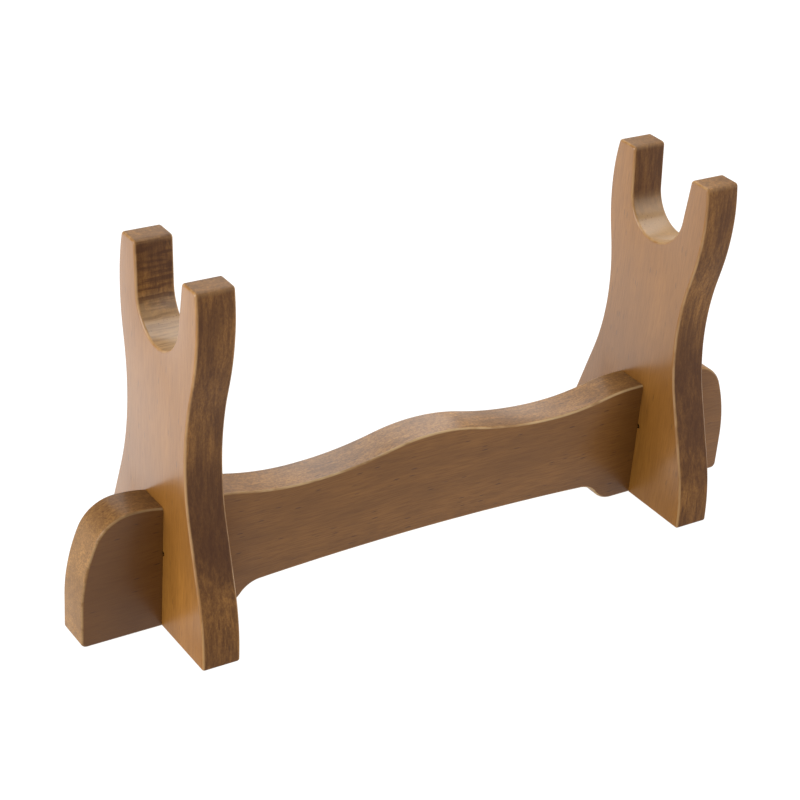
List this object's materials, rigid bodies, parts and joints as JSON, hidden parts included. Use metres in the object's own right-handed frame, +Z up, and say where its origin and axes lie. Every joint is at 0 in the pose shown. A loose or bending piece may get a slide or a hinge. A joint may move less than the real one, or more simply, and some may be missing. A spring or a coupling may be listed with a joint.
{
  "type": "display stand",
  "caption": "Low wooden display stand: a scalloped stretcher board lap-jointed through waisted uprights that end in U-shaped cradles.",
  "frame": {"origin": "on the floor, at the middle of the stand's footprint", "axes": "+X along the stretcher, +Y through its thickness, +Z up"},
  "size_m": [0.3906, 0.105, 0.19],
  "materials": {
    "stretcher_wood": "light brown stain under satin lacquer, grain along the board",
    "upright_wood": "light brown stain under satin lacquer, grain upright"
  },
  "bodies": {
    "stretcher": {"stretcher": "stretcher_wood"},
    "left_upright": {"left_upright": "upright_wood"},
    "right_upright": {"right_upright": "upright_wood"}
  },
  "joints": [
    {"name": "left_upright_lift", "type": "slide", "parent": "stretcher", "child": "left_upright", "axis": [0, 0, 1], "range_m": [0, 0.07]},
    {"name": "right_upright_lift", "type": "slide", "parent": "stretcher", "child": "right_upright", "axis": [0, 0, 1], "range_m": [0, 0.07]}
  ]
}
